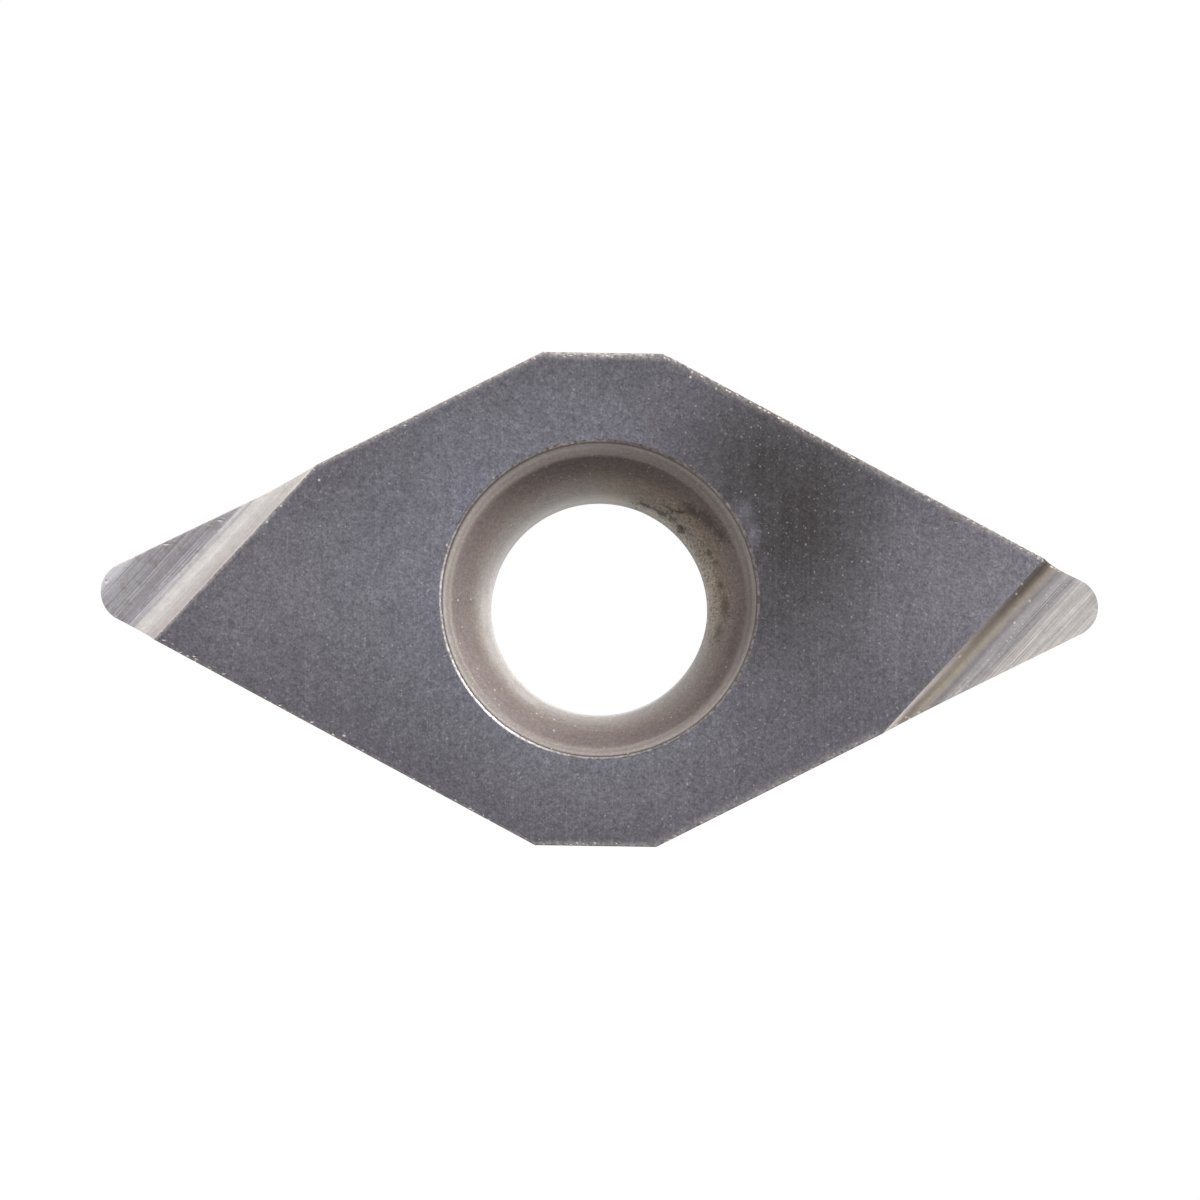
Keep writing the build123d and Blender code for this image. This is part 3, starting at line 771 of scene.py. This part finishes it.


# Carbide as it left the sintering furnace: a matt, brownish grey skin. Its sides carry painted light
# and shade: one side above the bore is painted bright, with painted highlight blots and glints, and
# the other side holds an olive film with dark dirt.
def sinteredCarbide(f):
    material, tree = newMaterial("sinteredCarbide", f["tones"][2][1])
    place, turned = placeOf(tree)
    level = addNode(tree, "ShaderNodeVectorMath", times, {0: place, 1: (1, 1, 0)}).outputs[0]
    radius = addNode(tree, "ShaderNodeVectorMath", {"operation": "LENGTH"}, {0: level}).outputs["Value"]
    # painted light and shade of the seat and cone among the tones by radius
    inRamp = addNode(tree, "ShaderNodeMapRange", None,
                     {0: radius, 1: f["rampStart"] * mm, 2: (f["rampStart"] + f["rampReach"]) * mm}).outputs[0]
    colour = fillRamp(addNode(tree, "ShaderNodeValToRGB", None, {"Fac": inRamp}), f["tones"],
                      f["rampStart"], f["rampReach"])
    # the turned lines: noise along the radius, slowly changing over the place, in the cone alone
    width, length, swing = f["rings"]
    byRadius = addNode(tree, "ShaderNodeMath", times, {0: radius, 1: 1 / (width * mm)})
    byRadius = addNode(tree, "ShaderNodeCombineXYZ", None, {"X": byRadius.outputs[0]}).outputs[0]
    ringPlace = addNode(tree, "ShaderNodeVectorMath", {"operation": "MULTIPLY_ADD"},
                        {0: level, 1: (1 / (length * mm),) * 3, 2: byRadius}).outputs[0]
    ring = addNode(tree, "ShaderNodeTexNoise", None, {"Vector": ringPlace, "Scale": 1.0, "Detail": 1.0})
    inCone = addNode(tree, "ShaderNodeMapRange", smooth,
                     {0: radius, 1: 1.87 * mm, 2: 1.91 * mm, 3: 0.15, 4: 1.0}).outputs[0]
    ring = addNode(tree, "ShaderNodeMapRange", None, {0: ring.outputs["Fac"], 1: 0.3, 2: 0.7, 3: -swing, 4: swing})
    tone = addNode(tree, "ShaderNodeMath", timesPlus, {0: ring.outputs[0], 1: inCone, 2: 1.0}).outputs[0]
    for values in f["grains"]:
        tone = addNode(tree, "ShaderNodeMath", times, {0: grain(tree, turned, *values), 1: tone}).outputs[0]
    # painted light and shade: the hole's sides lighter and darker by how the light falls on them
    light = tone
    for *values, gain in f["sides"]:
        factor = addNode(tree, "ShaderNodeMath", timesPlus, {0: sideOf(tree, place, *values), 1: gain, 2: 1.0}).outputs[0]
        light = addNode(tree, "ShaderNodeMath", times, {0: light, 1: factor}).outputs[0]
    colour = addNode(tree, "ShaderNodeMix", tinted, {0: 1.0, 6: colour, 7: light}).outputs[2]
    colour = addNode(tree, "ShaderNodeMix", tinted,
                     {0: sideOf(tree, place, *f["film"]), 6: colour, 7: hexColour(f["filmColour"])}).outputs[2]
    # the dirt that clings to the steep wall, and the painted glints there, are drawn out down it
    drawn = addNode(tree, "ShaderNodeVectorMath", times, {0: place, 1: (1, 1, f["drawnOut"])}).outputs[0]
    mottled, paintedConeGlints = (addNode(tree, "ShaderNodeMath", times, {0: sideOf(tree, place, *f[side]),
                                                                1: flecks(tree, drawn, *f[spots])}).outputs[0]
                        for side, spots in (("filmFleckSide", "filmFlecks"), ("coneGlintSide", "coneGlintFlecks")))
    dirt = addNode(tree, "ShaderNodeMath", {"operation": "MAXIMUM"},
                   {0: mottled, 1: blots(tree, level, drawn, f["dirt"], f["dirtUneven"])}).outputs[0]
    # painted highlights: the pale blots and the painted glints on the cone
    paintedHighlightBlots = addNode(tree, "ShaderNodeMath", {"operation": "MAXIMUM"},
                     {0: paintedConeGlints, 1: blots(tree, level, drawn, f["paintedHighlightBlots"], f["paintedHighlightUneven"])}).outputs[0]
    for share, blotColour in ((dirt, f["dirtColour"]), (paintedHighlightBlots, f["paintedHighlightColour"])):
        colour = addNode(tree, "ShaderNodeMix", mixed, {0: share, 6: colour, 7: hexColour(blotColour)}).outputs[2]
    # dirt is dull even where the steep wall is seen at a slant
    metallic = addNode(tree, "ShaderNodeMath", timesPlus, {0: dirt, 1: -f["metallic"], 2: f["metallic"]}).outputs[0]
    roughness = addNode(tree, "ShaderNodeMath", timesPlus,
                        {0: dirt, 1: 1 - f["roughness"], 2: f["roughness"]}).outputs[0]
    colour = addNode(tree, "ShaderNodeMix", mixed,
                     {0: flecks(tree, turned, *f["pale"]), 6: colour, 7: hexColour("#d8d0c8")}).outputs[2]
    # painted glints: pale points, most of them on the lit side
    paintedGlint = f["paintedGlint"]
    glintDots = points(tree, turned, paintedGlint["cell"], paintedGlint["radius"], paintedGlint["part"], False)
    onSide = addNode(tree, "ShaderNodeMath", timesPlus,
                     {0: sideOf(tree, place, *f["paintedGlintSide"]), 1: paintedGlint["share"] - paintedGlint["elsewhere"],
                      2: paintedGlint["elsewhere"]}).outputs[0]
    glintDots = addNode(tree, "ShaderNodeMath", times, {0: glintDots, 1: onSide}).outputs[0]
    colour = addNode(tree, "ShaderNodeMix", mixed, {0: glintDots, 6: colour, 7: hexColour("#f4f0ea")}).outputs[2]
    bump = addNode(tree, "ShaderNodeBump", None, {"Strength": 0.35, "Distance": 0.003 * mm, "Height": tone})
    shader = addNode(tree, "ShaderNodeBsdfPrincipled", None,
                     {"Base Color": colour, "Metallic": metallic, "Roughness": roughness,
                      "Normal": bump.outputs["Normal"]})
    addNode(tree, "ShaderNodeOutputMaterial", None, {"Surface": shader.outputs["BSDF"]})
    return material


# The rest of the skin: its metal, how rough, the grinding lines' pitch in mm along X, Y and Z and their
# swing, and its sides painted lighter and darker, painted light and shade as in the hole.
plainFinishes = {
    "rim": ("honedCarbide", "#aaa6a5", 0.44, (0.05, 0.05, 0.05), 0.5,
            [(258, 0.5, 1.0, 0.0, 1.0, 0.62), (318, 0.75, 1.0, 0.0, 1.0, -0.40),
             (112, 0.8, 1.0, 0.0, 1.0, 0.50), (30, 0.85, 1.0, 0.0, 1.0, 0.30),
             (215, -0.2, 0.5, 2.056, 2.048, 0.25), (225, -0.2, 0.5, 2.052, 2.060, -0.45)]),
    "flank": ("groundFlankCarbide", "#a3a1a2", 0.3, (1.4, 1.4, 0.04), 0.18, []),
    "seat": ("surfaceGroundCarbide", "#9a999c", 0.34, (0.06, 2.6, 2.6), 0.18, []),
}


# Carbide off a surface grinder: clean and grey, with the wheel's straight fine lines.
def plainCarbide(name, colour, roughness, pitch, swing, sides):
    material, tree = newMaterial(name, colour)
    place, turned = placeOf(tree)
    squeezed = addNode(tree, "ShaderNodeVectorMath", times,
                       {0: place, 1: tuple(1 / (value * mm) for value in pitch)})
    noise = addNode(tree, "ShaderNodeTexNoise", None,
                    {"Vector": squeezed.outputs[0], "Scale": 1.0, "Detail": 1.5, "Roughness": 0.5})
    tone = addNode(tree, "ShaderNodeMapRange", None,
                   {0: noise.outputs["Fac"], 1: 0.3, 2: 0.7, 3: 1 - swing, 4: 1 + swing}).outputs[0]
    factors = [grain(tree, turned, 0.05, 0.06), grain(tree, turned, 0.6, 0.06)]
    # painted light and shade on the sides, where any are given
    for *values, gain in sides:
        factors.append(addNode(tree, "ShaderNodeMath", timesPlus,
                               {0: sideOf(tree, place, *values), 1: gain, 2: 1.0}).outputs[0])
    for factor in factors:
        tone = addNode(tree, "ShaderNodeMath", times, {0: tone, 1: factor}).outputs[0]
    colour = addNode(tree, "ShaderNodeMix", tinted, {0: 1.0, 6: hexColour(colour), 7: tone}).outputs[2]
    bump = addNode(tree, "ShaderNodeBump", None,
                   {"Strength": 0.1, "Distance": 0.001 * mm, "Height": noise.outputs["Fac"]})
    shader = addNode(tree, "ShaderNodeBsdfPrincipled", None,
                     {"Base Color": colour, "Metallic": 1.0, "Roughness": roughness,
                      "Normal": bump.outputs["Normal"]})
    addNode(tree, "ShaderNodeOutputMaterial", None, {"Surface": shader.outputs["BSDF"]})
    return material


finishes = {"lapped": lappedCarbide(lappedFinish), "breaker": groundCarbide(breakerFinish),
            "hole": sinteredCarbide(holeFinish)}
for key, values in plainFinishes.items():
    finishes[key] = plainCarbide(*values)
for key in finishOrder:
    insertPiece.data.materials.append(finishes[key])
print("finishes:", ", ".join(finishes[key].name for key in finishOrder))


# Table, lamps and camera

tableForm = {"size": 1000.0, "gap": 0.002, "colour": "#ffffff", "shadowShare": 0.03, "glow": 1.025}


# A flat square just below the seating face. It shows as pure white, and a small share of plain white
# paint keeps the shadow. From below it is clear, so that the underside can be seen.
def whiteTable(form):
    half = form["size"] / 2 * mm
    mesh = bpy.data.meshes.new("table")
    level = -form["gap"] * mm
    mesh.from_pydata([(-half, -half, level), (half, -half, level), (half, half, level), (-half, half, level)],
                     [], [(0, 1, 2, 3)])
    piece = bpy.data.objects.new("table", mesh)
    bpy.context.scene.collection.objects.link(piece)
    material, tree = newMaterial("whiteTablePaint", form["colour"])
    path = addNode(tree, "ShaderNodeLightPath")
    seen = addNode(tree, "ShaderNodeMath", {"operation": "MAXIMUM"},
                   {0: path.outputs["Is Camera Ray"], 1: path.outputs["Is Glossy Ray"]})
    seen = addNode(tree, "ShaderNodeMath", {"operation": "MAXIMUM"},
                   {0: seen.outputs[0], 1: path.outputs["Is Transmission Ray"]})
    share = addNode(tree, "ShaderNodeMath", {"operation": "MULTIPLY"},
                    {0: seen.outputs[0], 1: 1 - form["shadowShare"]})
    paint = addNode(tree, "ShaderNodeBsdfDiffuse", None, {"Color": (0.85, 0.85, 0.85, 1)})
    glow = addNode(tree, "ShaderNodeEmission", None, {"Color": hexColour(form["colour"]), "Strength": form["glow"]})
    both = addNode(tree, "ShaderNodeMixShader", None,
                   {0: share.outputs[0], 1: paint.outputs[0], 2: glow.outputs[0]})
    clear = addNode(tree, "ShaderNodeBsdfTransparent", None, {"Color": (1, 1, 1, 1)})
    sides = addNode(tree, "ShaderNodeMixShader", None,
                    {0: addNode(tree, "ShaderNodeNewGeometry").outputs["Backfacing"], 1: both.outputs[0],
                     2: clear.outputs[0]})
    addNode(tree, "ShaderNodeOutputMaterial", None, {"Surface": sides.outputs[0]})
    mesh.materials.append(material)
    return piece


# Soft boxes round the insert: bearing from +X towards +Y, height above the horizon, size, and radiance,
# where 1 looks white. All together light a level white surface to just about white.
softBoxes = {
    "mainBox": {"bearing": 45, "height": 36, "size": (70, 60), "radiance": 7.2},
    "mainLowBox": {"bearing": 45, "height": 13, "size": (100, 50), "radiance": 3.8},
    "rightBox": {"bearing": 0, "height": 36, "size": (70, 60), "radiance": 3.0},
    "rightLowBox": {"bearing": 0, "height": 13, "size": (100, 50), "radiance": 1.0},
    "leftHighBox": {"bearing": 135, "height": 60, "size": (70, 70), "radiance": 0.9},
    "leftBox": {"bearing": 135, "height": 36, "size": (70, 60), "radiance": 1.9},
    "leftLowBox": {"bearing": 135, "height": 13, "size": (100, 50), "radiance": 1.5},
    "overheadBox": {"bearing": 0, "height": 89.9, "size": (70, 70), "radiance": 0.9},
}
boxDistance = 130.0


# A lamp's power for its radiance is radiance * pi * area.
def softBox(name, box):
    width, height = box["size"][0] * mm, box["size"][1] * mm
    data = bpy.data.lights.new(name, "AREA")
    data.shape = "RECTANGLE"
    data.size = width
    data.size_y = height
    data.energy = box["radiance"] * math.pi * width * height
    lamp = bpy.data.objects.new(name, data)
    bearing, rise = math.radians(box["bearing"]), math.radians(box["height"])
    back = np.array([math.cos(bearing) * math.cos(rise), math.sin(bearing) * math.cos(rise), math.sin(rise)])
    lamp.location = back * boxDistance * mm
    lamp.rotation_euler = (math.pi / 2 - rise, 0, bearing + math.pi / 2)
    lamp.visible_camera = False
    bpy.context.scene.collection.objects.link(lamp)
    return lamp


worldLight = {"colour": "#ffffff", "strength": 0.2}


# One plain level of light from all round.
def plainWorld(light):
    world = bpy.data.worlds.new("plainWorld")
    world.use_nodes = True
    tree = world.node_tree
    tree.nodes.clear()
    back = addNode(tree, "ShaderNodeBackground", None,
                   {"Color": hexColour(light["colour"]), "Strength": light["strength"]})
    addNode(tree, "ShaderNodeOutputWorld", None, {"Surface": back.outputs[0]})
    bpy.context.scene.world = world


cameraForm = {"lens": 467.46, "sensor": 36.0, "distance": 200.0, "height": 86.0, "roll": 0.88,
              "aim": (0.0086, -0.0116, 2.38)}


# The camera stands at aim + distance (0, -cos h, sin h), and its x axis is turned by the roll.
def closeCamera(form):
    rise, roll = math.radians(form["height"]), math.radians(form["roll"])
    back = np.array([0, -math.cos(rise), math.sin(rise)])
    right, up = np.array([1, 0, 0]), np.array([0, math.sin(rise), math.cos(rise)])
    axes = np.column_stack([math.cos(roll) * right + math.sin(roll) * up,
                            math.cos(roll) * up - math.sin(roll) * right, back])
    data = bpy.data.cameras.new("closeCamera")
    data.sensor_width = form["sensor"]
    data.lens = form["lens"]
    data.clip_start = 0.01
    data.clip_end = 10.0
    camera = bpy.data.objects.new("closeCamera", data)
    place = np.eye(4)
    place[:3, :3] = axes
    place[:3, 3] = (np.array(form["aim"]) + back * form["distance"]) * mm
    camera.matrix_world = Matrix(place.tolist())
    bpy.context.scene.collection.objects.link(camera)
    bpy.context.scene.camera = camera


whiteTable(tableForm)
for name, box in softBoxes.items():
    softBox(name, box)
plainWorld(worldLight)
closeCamera(cameraForm)
bpy.context.scene.view_settings.view_transform = "Standard"
print("table,", len(softBoxes), "soft boxes, world and camera are set")
